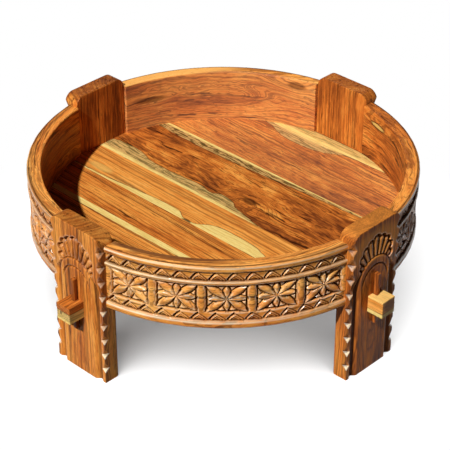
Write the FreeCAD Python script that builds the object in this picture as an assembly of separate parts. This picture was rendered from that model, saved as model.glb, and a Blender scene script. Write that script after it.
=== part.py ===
import FreeCAD
import Part
import math
import os

# A round grinder table of oiled hardwood: a shallow tray on four carved legs.
# Millimetres, +Z up. The origin is on the ground, under the middle of the tray.
# The legs stand on the X and Y axes. Two crossed beams carry the floor, and each beam's tenon
# passes through a leg, where a wedge key draws the leg in against the four rim segments.

V = FreeCAD.Vector
UP = V(0, 0, 1)
COMPASS = {"east": 0, "north": 90, "west": 180, "south": 270}
CORNERS = {"northeast": 0, "northwest": 90, "southwest": 180, "southeast": 270}

# Rim
rim_radius = 380.0
rim_wall = 28.0
rim_height = 134.0
rim_underside = 168.0
carving_depth = 4.0
bead_facet_count = 4
# Heights of the bands of its outer face, from the lowest up, as shares of the rim's height
band_shares = {
    "bottom_bead": 0.127,
    "lower_zigzag": 0.119,
    "flowers": 0.450,
    "middle_bead": 0.070,
    "upper_zigzag": 0.134,
    "top_bead": 0.100,
}

# Frieze of rosettes in the rim's widest band, one in each panel, with upright bars between the panels
flower_count = 5
bar_width = 13.0
panel_depth = 6.0
panel_bevel = 7.0
panel_border = 1.0
petal_width = 12.5
petal_root = 3.0
petal_sink = 0.4
# Tips of the petals, across and up, as shares of half the panel's width and height
petal_tip_shares = (
    (0.93, 0.90), (0.0, 0.80), (-0.93, 0.90), (-0.86, 0.0),
    (-0.93, -0.90), (0.0, -0.80), (0.93, -0.90), (0.86, 0.0),
)

# Legs
leg_width = 132.0
leg_thickness = 36.0
leg_proud = 7.5
leg_rise = 20.0
leg_corner_radius = 21.0
notch_count = 9
notch_ledge = 9.0
notch_land = 2.0
notch_on_side = 13.5
notch_on_face = 10.0
door_radius = 47.0
door_spring = 205.0
door_groove_width = 14.0
door_groove_depth = 7.0
arch_radius = 35.0
arch_spring = 197.0
arch_groove_width = 5.0
arch_groove_depth = 3.0
arch_facet_count = 14

# Shell fan over the door, with the lengths of its petals from the middle one outwards
fan_root = 51.5
fan_depth = 7.5
fan_margin = 2.0
fan_sink = 0.5
fan_petal_turn = 11.4
fan_tips = (91.0, 86.7, 82.0, 73.0, 61.0)
fan_widest_share = 0.75

# Floor of planks along X, with the seams as shares of its radius
plank_thickness = 14.0
floor_lip = 8.0
floor_housing = 10.0
seam_shares = (-0.72, -0.48, -0.25, -0.02, 0.44, 0.88)

# Crossed beams and their tenons
beam_width = 50.0
beam_height = 50.0
tenon_width = 35.0
tenon_height = 35.0
tenon_projection = 35.0
# Depth of the tenons below the top of each beam
tenon_shoulders = {"east_west": 4.5, "north_south": 11.0}

# Wedge keys
key_width = 8.0
key_head_thickness = 10.5
key_tip_thickness = 8.5
key_length = 111.0
key_tip_drop = 30.0
key_pull = 2.0

# Tongues of the rim, as shares of where rim and leg overlap and of the rim's height over the floor
tongue_length = 10.0
tongue_thickness_share = 0.5
tongue_height_share = 0.8

# Clearances
fixed_gap = 0.2
sliding_gap = 0.3
overrun = 5.0

# Places that follow from the sizes above
rim_inner = rim_radius - rim_wall
rim_top = rim_underside + rim_height
band_radius = rim_radius - carving_depth
leg_half = leg_width / 2
leg_outer = rim_radius + leg_proud
leg_inner = leg_outer - leg_thickness
leg_height = rim_top + leg_rise
notch_pitch = leg_height / (notch_count + 1)
notch_rise = notch_pitch - notch_ledge - notch_land
floor_bottom = rim_underside + floor_lip
floor_top = floor_bottom + plank_thickness
floor_radius = rim_inner + floor_housing
beam_top = floor_bottom
beam_bottom = beam_top - beam_height
tenon_tops = {name: beam_top - shoulder for name, shoulder in tenon_shoulders.items()}
tenon_end = leg_outer + tenon_projection
segment_turn = 90 - 2 * math.degrees(math.asin(leg_half / rim_radius))
flower_turn = segment_turn / flower_count
panel_half_width = math.radians(flower_turn) * band_radius / 2 - bar_width / 2
panel_floor = math.sqrt(band_radius ** 2 - panel_half_width ** 2) - panel_depth
fan_floor = leg_outer - fan_depth


def box(low, high):
    """Block between two opposite corners."""
    size = [top - bottom for bottom, top in zip(low, high)]
    return Part.makeBox(size[0], size[1], size[2], V(*low))


def turned(shape, degrees):
    """Copy of a shape, turned about the table's upright axis."""
    copy = shape.copy()
    copy.rotate(V(0, 0, 0), UP, degrees)
    return copy


def polygon(points):
    """Flat face through corner points."""
    return Part.Face(Part.makePolygon(points + points[:1]))


def joined(edges):
    """Flat face inside a closed run of edges."""
    return Part.Face(Part.Wire(edges))


def solid(outlines):
    """Solid inside flat faces, each given by its corner points."""
    body = Part.Solid(Part.Shell([polygon(outline) for outline in outlines]))
    if body.Volume < 0:
        body.reverse()
    return body


def tapered(first, second):
    """Solid between two outlines with the same number of corners."""
    sides = zip(first, first[1:] + first[:1], second[1:] + second[:1], second)
    return solid([first, second] + [list(side) for side in sides])


def pyramid(base, apex):
    return solid([base] + [[start, end, apex] for start, end in zip(base, base[1:] + base[:1])])


def line(start, end):
    return Part.LineSegment(start, end).toShape()


def arc(start, middle, end):
    return Part.Arc(start, middle, end).toShape()


def along_side(radius):
    """Distance out along a leg's axis at which a circle meets the leg's side face."""
    return math.sqrt(radius ** 2 - leg_half ** 2)


# Rim segments

def band_heights():
    """Lower and upper height of each band of the rim's outer face."""
    heights = {}
    low = rim_underside
    for name, share in band_shares.items():
        heights[name] = (low, low + share * rim_height)
        low = heights[name][1]
    return heights


def rim_profile():
    """Section of the rim: three beads with sunk bands between them, and the floor's groove inside."""
    bands = band_heights()
    housing = floor_radius + fixed_gap

    def at(radius, height):
        return V(radius, 0, height)

    def bead(name):
        low, high = bands[name]
        middle = (low + high) / 2
        turns = [math.pi * step / bead_facet_count for step in range(bead_facet_count + 1)]
        return [
            at(band_radius + carving_depth * math.sin(turn), middle - (high - low) / 2 * math.cos(turn))
            for turn in turns
        ]

    inside = [
        at(rim_inner, rim_top),
        at(rim_inner, floor_top),
        at(housing, floor_top),
        at(housing, floor_bottom),
        at(rim_inner, floor_bottom),
        at(rim_inner, rim_underside),
    ]
    return polygon(inside + bead("bottom_bead") + bead("middle_bead") + bead("top_bead"))


def tongue(gap):
    """Tongue on the rim's end beside the east leg, or with a gap the groove that takes it."""
    inside = max(leg_inner, along_side(rim_inner))
    outside = min(leg_outer, along_side(band_radius))
    middle = (inside + outside) / 2
    half_thickness = tongue_thickness_share * (outside - inside) / 2 + gap
    half_height = tongue_height_share * (rim_top - floor_top) / 2 + gap
    mid_height = (rim_top + floor_top) / 2
    low = (middle - half_thickness, leg_half - tongue_length - gap, mid_height - half_height)
    high = (middle + half_thickness, leg_half + tongue_length, mid_height + half_height)
    return box(low, high)


def across_diagonal(shape):
    """Mirror image of a shape in the upright plane half way between the X and Y axes."""
    return shape.mirror(V(0, 0, 0), V(1, -1, 0))


def flower_panel():
    """Cutter of one panel of the frieze, on the east side: a flat ground with bevelled borders."""
    low, high = band_heights()["flowers"]
    middle = (low + high) / 2
    half_height = (high - low) / 2 - panel_border

    def outline(radius, inset):
        across = panel_half_width - inset
        up = half_height - inset
        ends = ((-1, -1), (1, -1), (1, 1), (-1, 1))
        return [V(radius, side * across, middle + end * up) for side, end in ends]

    return tapered(outline(panel_floor, panel_bevel), outline(band_radius + fixed_gap, 0))


def flower():
    """Eight petals of one rosette, on the east side. Each has a ridge from its root to its tip."""
    low, high = band_heights()["flowers"]
    middle = V(panel_floor - overrun / 2, 0, (low + high) / 2)
    petals = []
    for across_share, up_share in petal_tip_shares:
        tip = V(0, across_share * panel_half_width, up_share * (high - low) / 2)
        along = V(tip).normalize()
        beside = UP.cross(V(1, 0, 0)) * along.z - UP * along.y
        root = along * petal_root
        widest = (root + tip) / 2
        base = [root, widest + beside * petal_width / 2, tip, widest - beside * petal_width / 2]
        crest = widest + V(band_radius - petal_sink - middle.x, 0, 0)
        petals.append(pyramid([middle + corner for corner in base], middle + crest))
    return petals


def rim_segment():
    """Quarter of the rim between the east and north legs."""
    quarter = rim_profile().revolve(V(0, 0, 0), UP, 90)
    reach = rim_radius + overrun
    beside_east = box((0, -overrun, 0), (reach, leg_half, rim_top + overrun))
    beside_north = box((-overrun, 0, 0), (leg_half, reach, rim_top + overrun))
    turns = [45 + (number - (flower_count - 1) / 2) * flower_turn for number in range(flower_count)]
    panels = [turned(flower_panel(), turn) for turn in turns]
    petals = [turned(petal, turn) for turn in turns for petal in flower()]
    segment = quarter.cut([beside_east, beside_north] + panels)
    return segment.fuse(petals + [tongue(0), across_diagonal(tongue(0))]).removeSplitter()


# Legs

def leg_blank():
    """Upright board with rounded top corners, on the east side."""
    shoulder = leg_height - leg_corner_radius
    inset = leg_corner_radius * (1 - math.sqrt(0.5))

    def at(across, height):
        return V(leg_inner, across, height)

    def corner(side):
        low = at(side * leg_half, shoulder)
        middle = at(side * (leg_half - inset), leg_height - inset)
        high = at(side * (leg_half - leg_corner_radius), leg_height)
        return low, middle, high

    left = corner(-1)
    right = corner(1)
    edges = [
        line(at(-leg_half, 0), at(leg_half, 0)),
        line(at(leg_half, 0), right[0]),
        arc(*right),
        line(right[-1], left[-1]),
        arc(*reversed(left)),
        line(left[0], at(-leg_half, 0)),
    ]
    return joined(edges).extrude(V(leg_thickness, 0, 0))


def chip(side, tip_height):
    """Chip cut out of a leg's outer arris: a short ledge up and in, and a long facet back out."""
    root_height = tip_height + notch_ledge
    tip = V(leg_outer, side * leg_half, tip_height)
    on_side = V(leg_outer - notch_on_side, side * leg_half, root_height)
    on_face = V(leg_outer, side * (leg_half - notch_on_face), root_height)
    root = (on_side + on_face) / 2
    spread = on_side - on_face
    foot = root + (tip - root) * 2
    head = foot + UP * (notch_ledge + notch_rise) * 2
    ends = [root + spread, root - spread]
    return solid([[foot, *ends], [head, *ends], [foot, head, ends[0]], [foot, head, ends[1]]])


def groove_section(across, width, depth):
    """V section of a groove in a leg's outer face, as places out and across."""
    half = width / 2 * (1 + overrun / depth)
    outside = leg_outer + overrun
    return [(outside, across - half), (outside, across + half), (leg_outer - depth, across)]


def arch_groove(radius, spring, width, depth):
    """V groove that runs over an arch of flat facets."""
    def section(turn):
        return [
            V(out, place * math.cos(turn), spring + place * math.sin(turn))
            for out, place in groove_section(radius, width, depth)
        ]

    rings = [section(math.pi * step / arch_facet_count) for step in range(arch_facet_count + 1)]
    sides = []
    for near, far in zip(rings, rings[1:]):
        for corner in range(len(near)):
            sides.append([near[corner - 1], near[corner], far[corner], far[corner - 1]])
    return solid([rings[0], rings[-1]] + sides)


def door_grooves():
    """Grooves of the arched door on a leg's face: two uprights, the arch over them and an inner arch."""
    cuts = [
        arch_groove(door_radius, door_spring, door_groove_width, door_groove_depth),
        arch_groove(arch_radius, arch_spring, arch_groove_width, arch_groove_depth),
    ]
    for side in (-1, 1):
        places = groove_section(side * door_radius, door_groove_width, door_groove_depth)
        section = polygon([V(out, across, -overrun) for out, across in places])
        cuts.append(section.extrude(UP * (door_spring + overrun)))
    return cuts


def fan_point(out, reach, place):
    """Point of the fan at a distance from its middle, in the direction of one of its petals."""
    turn = math.radians(place * fan_petal_turn)
    return V(out, reach * math.sin(turn), door_spring + reach * math.cos(turn))


def fan_pocket():
    """Cutter of the ground that the shell fan stands in."""
    last = len(fan_tips) - 1
    edge = last + 0.5
    places = range(-last, last + 1)
    outside = [fan_point(fan_floor, fan_tips[abs(place)] + fan_margin, place) for place in places]
    corner = fan_tips[last]
    outside = [fan_point(fan_floor, corner, -edge)] + outside + [fan_point(fan_floor, corner, edge)]
    inside = [fan_point(fan_floor, fan_root, place) for place in (edge, *reversed(places), -edge)]
    return polygon(outside + inside).extrude(V(fan_depth + overrun, 0, 0))


def fan_petals():
    """Petals of the shell fan. Each has a ridge from its root to its tip."""
    petals = []
    spread = math.tan(math.radians(fan_petal_turn / 2))
    for place in range(1 - len(fan_tips), len(fan_tips)):
        tip = fan_tips[abs(place)]
        widest = fan_root + fan_widest_share * (tip - fan_root)
        beside = V(0, 1, 0) * (widest * spread)
        beside = FreeCAD.Rotation(V(1, 0, 0), -place * fan_petal_turn).multVec(beside)
        ground = fan_floor - overrun / 2
        middle = fan_point(ground, widest, place)
        root_point = fan_point(ground, fan_root, place)
        tip_point = fan_point(ground, tip, place)
        base = [root_point, middle + beside, tip_point, middle - beside]
        petals.append(pyramid(base, fan_point(leg_outer - fan_sink, widest, place)))
    return petals


def leg(tenon_top):
    """East leg, with its mortise, the grooves for the rim's tongues and its carved outer face."""
    reach_across = tenon_width / 2 + fixed_gap
    mortise = box(
        (leg_inner - overrun, -reach_across, tenon_top - tenon_height - fixed_gap),
        (leg_outer + overrun, reach_across, tenon_top + fixed_gap),
    )
    groove = tongue(fixed_gap)
    cuts = [mortise, groove, groove.mirror(V(0, 0, 0), V(0, 1, 0)), fan_pocket()]
    for number in range(1, notch_count + 1):
        for side in (-1, 1):
            cuts.append(chip(side, number * notch_pitch - notch_ledge))
    return leg_blank().cut(cuts + door_grooves()).fuse(fan_petals()).removeSplitter()


# Crossed beams

def key_section(thickness_at, inner, half_width, low, high):
    """Block with one sloped side, which follows the key's taper between two heights."""
    def at(side, radius, height):
        return V(radius, side * half_width, height)

    profile = [
        at(-1, inner, low),
        at(-1, leg_outer + thickness_at(low), low),
        at(-1, leg_outer + thickness_at(high), high),
        at(-1, inner, high),
    ]
    return polygon(profile).extrude(V(0, 2 * half_width, 0))


def key_bottom(tenon_top):
    """Height of the tip of the key through a tenon."""
    return tenon_top - tenon_height - key_tip_drop


def key_thickness(height, tenon_top):
    """Thickness of a tenon's wedge key at a height."""
    share = (height - key_bottom(tenon_top)) / key_length
    return key_tip_thickness + share * (key_head_thickness - key_tip_thickness)


def key_slot(tenon_top):
    """Slot through the east tenon. It runs a little inside the leg, so that the key can draw it in."""
    def slot_thickness(height):
        return key_thickness(height, tenon_top) + sliding_gap

    half_width = key_width / 2 + sliding_gap
    low = tenon_top - tenon_height - overrun
    return key_section(slot_thickness, leg_outer - key_pull, half_width, low, tenon_top + overrun)


def beam(tenon_top, lap_low, lap_high):
    """Beam along X with a tenon at each end, and a lap cut out of its middle between two heights."""
    half = beam_width / 2
    body = box((-leg_inner, -half, beam_bottom), (leg_inner, half, beam_top))
    reach = tenon_width / 2
    tenons = box((-tenon_end, -reach, tenon_top - tenon_height), (tenon_end, reach, tenon_top))
    lap = box((-half, -half - overrun, lap_low), (half, half + overrun, lap_high))
    slot = key_slot(tenon_top)
    return body.fuse(tenons).cut([lap, slot, turned(slot, 180)]).removeSplitter()


def beams():
    """Two beams that cross in a half lap."""
    lap_height = (beam_bottom + beam_top) / 2
    east_west = beam(tenon_tops["east_west"], lap_height, beam_top + overrun)
    north_south = beam(tenon_tops["north_south"], beam_bottom - overrun, lap_height)
    return {"beam_east_west": east_west, "beam_north_south": turned(north_south, 90)}


def wedge_key(tenon_top):
    """Key of the east leg, flat on the leg's face and tapered on its outer side."""
    def thickness(height):
        return key_thickness(height, tenon_top)

    low = key_bottom(tenon_top)
    return key_section(thickness, leg_outer + sliding_gap, key_width / 2, low, low + key_length)


# Floor

def floor_planks():
    """Planks of the floor, cut round to the rim's groove and flat at the legs."""
    disc = Part.makeCylinder(floor_radius, plank_thickness, V(0, 0, floor_bottom))
    square = box((-leg_inner, -leg_inner, floor_bottom), (leg_inner, leg_inner, floor_top))
    blank = disc.common(square)
    seams = [-leg_inner] + [share * floor_radius for share in seam_shares] + [leg_inner]
    planks = {}
    for number, (low, high) in enumerate(zip(seams, seams[1:]), 1):
        strip = box((-leg_inner, low, floor_bottom), (leg_inner, high, floor_top))
        planks[f"floor_plank_{number}"] = blank.common(strip)
    return planks


def table():
    """Every piece of the table by its name."""
    pieces = {}
    legs = {name: leg(tenon_top) for name, tenon_top in tenon_tops.items()}
    keys = {name: wedge_key(tenon_top) for name, tenon_top in tenon_tops.items()}
    first_segment = rim_segment()
    for side, degrees in COMPASS.items():
        pair = next(name for name in tenon_tops if side in name)
        pieces[f"leg_{side}"] = turned(legs[pair], degrees)
        pieces[f"wedge_key_{side}"] = turned(keys[pair], degrees)
    for corner, degrees in CORNERS.items():
        pieces[f"rim_{corner}"] = turned(first_segment, degrees)
    pieces.update(beams())
    pieces.update(floor_planks())
    return pieces


os.makedirs("parts", exist_ok=True)
for name, shape in table().items():
    shape.exportStep(f"parts/{name}.step")
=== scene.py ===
"""Looks of the grinder table: carved rim and legs, wood for every piece, a pale studio and the camera."""

import math

import bpy
import numpy as np
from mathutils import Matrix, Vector


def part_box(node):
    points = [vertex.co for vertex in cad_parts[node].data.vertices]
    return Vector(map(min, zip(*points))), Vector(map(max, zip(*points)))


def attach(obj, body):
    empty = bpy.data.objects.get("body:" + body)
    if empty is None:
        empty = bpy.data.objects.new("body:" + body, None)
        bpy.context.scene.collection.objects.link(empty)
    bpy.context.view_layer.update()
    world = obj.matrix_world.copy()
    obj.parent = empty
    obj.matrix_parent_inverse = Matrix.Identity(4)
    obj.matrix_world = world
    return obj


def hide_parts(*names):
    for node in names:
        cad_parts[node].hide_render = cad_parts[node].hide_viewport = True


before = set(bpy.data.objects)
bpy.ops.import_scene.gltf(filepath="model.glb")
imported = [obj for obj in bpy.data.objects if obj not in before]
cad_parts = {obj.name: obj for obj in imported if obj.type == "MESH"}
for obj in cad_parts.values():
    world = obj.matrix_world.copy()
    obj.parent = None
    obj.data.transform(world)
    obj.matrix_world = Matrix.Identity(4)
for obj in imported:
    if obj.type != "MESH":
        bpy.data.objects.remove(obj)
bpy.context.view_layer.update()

MM = 0.001
COMPASS = {"east": 0, "north": 90, "west": 180, "south": 270}
CORNERS = {"northeast": 0, "northwest": 90, "southwest": 180, "southeast": 270}

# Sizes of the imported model, in metres
leg_low, leg_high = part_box("leg_east")
rim_low, rim_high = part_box("rim_northeast")
plank_low, plank_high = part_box("floor_plank_5")
leg_inner, leg_outer = leg_low.x, leg_high.x
leg_half, leg_top = leg_high.y, leg_high.z
rim_base, rim_top = rim_low.z, rim_high.z
floor_bottom, floor_top = plank_low.z, plank_high.z
rim_points = np.array([vertex.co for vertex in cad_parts["rim_northeast"].data.vertices])
rim_radii = np.hypot(rim_points[:, 0], rim_points[:, 1])
rim_inner, rim_outer = rim_radii.min(), rim_radii.max()
segment_turn = math.pi / 2 - 2 * math.asin(leg_half / rim_outer)
segment_length = rim_outer * segment_turn

# Meshes: what counts as the same place, and from what angle an edge is shaded sharp
same_place = 0.02 * MM
tiny = 0.01 * MM
sharp_angle = math.radians(38)
# Unevenness of hand work
hand_waver = 0.4 * MM
wave_count = 7
wave_length = 30 * MM
wave_length_shares = (0.4, 1.6)
# Edges: over how many cells the carving is evened out, and how far off that an edge counts in full
edge_cells = 3
edge_height = 1.4 * MM
hollow_gain = 1.7

# Rim carving
rim_seed = 20
rim_seed_step = 7
band_depth = 4.0 * MM
carve_step = 0.95 * MM
# Heights of the bands of the rim's face, from the lowest up, as shares of its height
band_shares = {
    "bottom_bead": 0.127,
    "lower_zigzag": 0.119,
    "flowers": 0.450,
    "middle_bead": 0.070,
    "upper_zigzag": 0.134,
    "top_bead": 0.100,
}
bead_fullness = 2.4
# Painted highlight along the beads' upper side: how strong, and where up it that is and how far it fades as
# shares of its height
bead_highlight = 3.6
bead_highlight_place_share = 0.74
bead_highlight_spread_share = 0.10
# How much of that painted highlight is left at the weaker end of each segment, how fast it changes, how it
# wavers
bead_highlight_least_share = 0.3
bead_highlight_slope = 1.4
bead_highlight_waver = 0.4
bead_highlight_stretch = 9
# How much the carving's proud edges are paled by wear and painted highlight, and its hollows darkened by
# dirt and painted shade
rim_rub_and_highlight = 1.4
rim_dirt_and_shade = 1.3
zigzag_count = 14
zigzag_climb_share = 0.42
zigzag_arching = 1.25
zigzag_margin = 2.5 * MM
# Grooves along the zigzag where it rises and where it falls: each one's place above it, half width and depth
zigzag_rising = [(0.0 * MM, 3.3 * MM, 7.0 * MM), (-5.4 * MM, 1.9 * MM, 3.4 * MM)]
zigzag_falling = [(0.0 * MM, 1.8 * MM, 2.4 * MM), (-4.2 * MM, 1.6 * MM, 2.2 * MM)]
zigzag_ground = 7.5 * MM
zigzag_ground_sink = 2.2 * MM
flower_count = 5
flower_stray = 1 * MM
bar_half = 7.0 * MM
bar_crown = 4.0 * MM
bar_sink = 3.0 * MM
panel_sink = 1.5 * MM
panel_slope = 0.14
panel_deepest = 10.0 * MM
moat_half = 3.2 * MM
moat_depth = 8.5 * MM
petal_fall = 2.2 * MM
petal_roundness = 2.2
petal_lean = 1.2
petal_fullness = 0.9
petal_heart = 7.0 * MM
petal_heart_sink = 1.8 * MM
petal_reach_shares = (0.95, 1.03)
# Each petal's tip across and up as shares of the panel's half size
petal_tips_shares = [
    (0.96, 0.94), (0.0, 0.84), (-0.96, 0.94), (-0.90, 0.0),
    (-0.96, -0.94), (0.0, -0.84), (0.96, -0.94), (0.90, 0.0),
]
# Half widths of the petals that point at a corner and at a side of the panel
petal_half_corner = 5.4 * MM
petal_half_side = 4.6 * MM

# Section of the rim behind its carved face, and how many points its parts have
housing_depth = 10.0 * MM
rim_edge = 2.5 * MM
corner_points = 5
top_points = 8
wall_points = 12
underside_points = 5

# Leg carving
leg_seed = 10
leg_step = 1.25 * MM
leg_edge = 2.2 * MM
edge_points = 6
side_points = 8
leg_corner = 21 * MM
leg_waver_share = 0.5
# How much the legs' proud edges are paled by wear and painted highlight
leg_rub_and_highlight = 0.35
chip_count = 9
chip_ledge = 9 * MM
chip_land = 2 * MM
chip_on_side = 13.5 * MM
chip_on_face = 10 * MM
# Painted highlight on the chips' ledges: the range from which each ledge's strength is drawn
ledge_highlights = (2.4, 4.6)
ledge_least = leg_edge / 4
door_spring = 205 * MM
# Groove round the door: where its rounded side and its outer wall start and end, from the door's middle
door_groove = (39.0 * MM, 48.0 * MM, 52.0 * MM, 58.5 * MM)
door_depth = 8.0 * MM
door_roundness = 1.4
# The same at the door's head, to which it narrows over a height
head_groove = (43.0 * MM, 46.0 * MM, 46.5 * MM, 48.5 * MM)
head_depth = 3.5 * MM
head_height = 25 * MM
# How far the ground beside the door lies lower than the door, and over what height that fades at its head
ground_sink = 3.5 * MM
ground_fade = 30 * MM
arch_radius = 36 * MM
arch_spring = 198 * MM
arch_inner_wall = 4.0 * MM
arch_outer_wall = 1.2 * MM
arch_depth = 3.0 * MM
arch_fade_share = 0.3
fan_root = 46.5 * MM
fan_root_fade = 1.5 * MM
fan_root_sink = 0.8 * MM
fan_turn = math.radians(11.4)
# Reach of the fan's petals from the middle one outwards
fan_tips = (91 * MM, 86.7 * MM, 82 * MM, 73 * MM, 58.7 * MM)
fan_depth = 8.5 * MM
fan_bulge = 7.0 * MM
fan_margin = 2.0 * MM
fan_wall = 1.3 * MM
# From what share of the fan's depth the carving is darkened by dirt and painted shade, and how much at most
dirt_and_shade_start = 0.65
dirt_and_shade_most = 0.6
mortise_half = 17.7 * MM
mortise_gap = 0.2 * MM
# Columns of a leg's plain back outside its mortise, as shares of its half width
back_column_shares = (1, 0.98, 0.6)

# Radius of the plain pieces' worn edges
worn_edge = 1.2 * MM


# Meshes

def steps(low, high, step):
    """Evenly spaced values from low to high, at most a step apart."""
    return np.linspace(low, high, max(2, math.ceil((high - low) / step) + 1))


def merged(*runs):
    """All values of several runs in rising order, without near doubles."""
    values = np.sort(np.concatenate(runs))
    keep = np.append(True, np.diff(values) > same_place)
    return values[keep]


def waver(across, up, seed):
    """Slow unevenness of hand work, between about -1 and 1."""
    draw = np.random.default_rng(seed)
    total = np.zeros_like(across)
    for _ in range(wave_count):
        direction = draw.uniform(0, 2 * math.pi)
        length = wave_length * draw.uniform(*wave_length_shares)
        way = across * math.cos(direction) + up * math.sin(direction)
        total += np.sin(2 * math.pi * way / length + draw.uniform(0, 2 * math.pi))
    return total / wave_count


def smoothed(field, cells):
    """Field averaged over the points within a number of cells, both ways."""
    field = np.pad(field, cells, mode="edge")
    for axis in (0, 1):
        count = field.shape[axis] - 2 * cells
        shifted = [np.take(field, range(start, start + count), axis) for start in range(2 * cells + 1)]
        field = np.mean(shifted, 0)
    return field


def edges(relief):
    """Where a carved face is hollow and where it stands out, each from 0 to 1."""
    proud = (relief - smoothed(relief, edge_cells)) / edge_height
    return np.clip(-hollow_gain * proud, 0, 1), np.clip(proud, 0, 1)


def turned(points, degrees):
    """Points turned about the table's upright axis."""
    cos, sin = math.cos(math.radians(degrees)), math.sin(math.radians(degrees))
    x, y, z = np.moveaxis(points, -1, 0)
    return np.stack([x * cos - y * sin, x * sin + y * cos, z], axis=-1)


def added(name, data):
    """New object in the scene."""
    thing = bpy.data.objects.new(name, data)
    bpy.context.scene.collection.objects.link(thing)
    return thing


def loft(name, sections, grain, dirt_and_shade, worn_and_highlit, open_cells=None, walls=()):
    """Closed mesh through a row of closed sections, with flat ends.

    Grain holds each point's place in the wood: along the grain, and twice across it. Two marks say where
    dirt and painted shade darken it and where wear and painted highlight make it pale. Open cells are left
    out of the skin, and walls are further faces between its points.
    """
    count, around, _ = sections.shape
    number = np.arange(count * around).reshape(count, around)
    ahead = np.roll(number, -1, axis=1)
    cells = np.stack([number[:-1], ahead[:-1], ahead[1:], number[1:]], axis=-1)
    skin = cells.reshape(-1, 4) if open_cells is None else cells[~open_cells]
    ends = [number[0][::-1].tolist(), number[-1].tolist()]
    mesh = bpy.data.meshes.new(name)
    mesh.from_pydata(sections.reshape(-1, 3).tolist(), [], skin.tolist() + ends + list(walls))
    mesh.attributes.new("grain", "FLOAT_VECTOR", "POINT").data.foreach_set("vector", grain.ravel())
    for mark, values in (("dirt_and_shade", dirt_and_shade), ("worn_and_highlit", worn_and_highlit)):
        mesh.attributes.new(mark, "FLOAT", "POINT").data.foreach_set("value", values.ravel())
    mesh.shade_smooth()
    mesh.set_sharp_from_angle(angle=sharp_angle)
    return added(name, mesh)


# Rim

def bead(height, low, high):
    """Half-round moulding between two heights: 0 at its edges, 1 at its crest."""
    place = np.clip(np.abs(2 * height - low - high) / (high - low), 0, 1)
    return (1 - place ** bead_fullness) ** (1 / bead_fullness)


def groove(off, half, deepest):
    """Depth of a V groove at a distance off its bottom."""
    return deepest * np.clip(1 - np.abs(off) / half, 0, 1)


def zigzag(along, height, low, high, period):
    """Depth of two zigzag grooves side by side, and of the sunk ground below them."""
    share = (along / period) % 1
    rising = share < zigzag_climb_share
    climb = np.where(rising, share / zigzag_climb_share, (1 - share) / (1 - zigzag_climb_share))
    climb = 1 - (1 - climb) ** zigzag_arching
    tall = high - low - zigzag_margin
    run = period * np.where(rising, zigzag_climb_share, 1 - zigzag_climb_share)
    above = (height - low - climb * tall) * run / np.hypot(run, tall)
    depth = zigzag_ground_sink * np.clip((-above - zigzag_ground) / zigzag_ground_sink + 1, 0, 1)
    for side, grooves in ((rising, zigzag_rising), (~rising, zigzag_falling)):
        for place, half, deepest in grooves:
            depth = np.maximum(depth, np.where(side, groove(above - place, half, deepest), 0))
    return depth


def petal(across, up, tip_across, tip_up, widest):
    """Height of one leaf-shaped petal from the middle of a panel to its tip, and the distance inside it."""
    length = math.hypot(tip_across, tip_up)
    out = (across * tip_across + up * tip_up) / length
    off = (up * tip_across - across * tip_up) / length
    share = np.clip(out / length, 0, 1)
    half = widest * np.sin(math.pi * share ** petal_lean) ** petal_fullness + tiny
    crest = -petal_heart_sink * np.clip(1 - out / petal_heart, 0, 1)
    surface = crest - petal_fall * np.minimum(np.abs(off) / half, 1) ** petal_roundness
    return surface, half - np.hypot(off, out - share * length)


def flower(across, up, half_width, half_height, seed):
    """Rosette of eight petals in a sunk panel."""
    draw = np.random.default_rng(seed)
    border = np.minimum(half_width - np.abs(across), half_height - np.abs(up))
    moat = groove(border - moat_half, moat_half, moat_depth)
    relief = -np.maximum(panel_sink + panel_slope * border, moat)
    petals = np.full_like(across, -panel_deepest)
    across = across - draw.uniform(-1, 1) * flower_stray
    up = up - draw.uniform(-1, 1) * flower_stray
    for share_across, share_up in petal_tips_shares:
        reach = draw.uniform(*petal_reach_shares)
        widest = petal_half_corner if share_across and share_up else petal_half_side
        tip_across = reach * share_across * half_width
        tip_up = reach * share_up * half_height
        leaf, within = petal(across, up, tip_across, tip_up, widest)
        petals = np.where(within > 0, np.maximum(petals, leaf), petals)
        relief = np.minimum(relief, -groove(within + moat_half, moat_half, moat_depth))
    relief = np.where(petals > -panel_deepest, petals, relief)
    return np.where(border > 0, relief, 0)


def flower_band(along, height, low, high, seed):
    """Row of flower panels with rounded bars between them."""
    pitch = segment_length / flower_count
    relief = np.zeros_like(along)
    middle = (low + high) / 2
    half_width = pitch / 2 - bar_half
    for number in range(flower_count):
        place = (number - (flower_count - 1) / 2) * pitch
        inside = np.abs(along - place) < half_width
        panel = flower(along - place, height - middle, half_width, (high - low) / 2, seed + number)
        relief = np.where(inside, panel, relief)
    off_bar = np.abs((along / pitch + flower_count / 2 + 0.5) % 1 - 0.5) * pitch
    crown = bar_crown * np.sqrt(np.clip(1 - (off_bar / bar_half) ** 2, 0, 1)) - bar_sink
    return np.where(off_bar < bar_half, crown, relief)


def bands():
    """Name, lower and upper height of each band of the rim's face, from the lowest up."""
    low = rim_base
    for name, share in band_shares.items():
        high = low + share * (rim_top - rim_base)
        yield name, low, high
        low = high


def rim_relief(along, height, seed):
    """Outward offset of the rim's face from the ground of its bands."""
    relief = np.zeros_like(along)
    for name, low, high in bands():
        if name.endswith("bead"):
            band = band_depth * bead(height, low, high)
        elif name.endswith("zigzag"):
            band = -zigzag(along + segment_length / 2, height, low, high, segment_length / zigzag_count)
        else:
            band = flower_band(along, height, low, high, seed)
        relief = np.where((height >= low) & (height <= high), band, relief)
    return relief + hand_waver * waver(along, height, seed)


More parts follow.
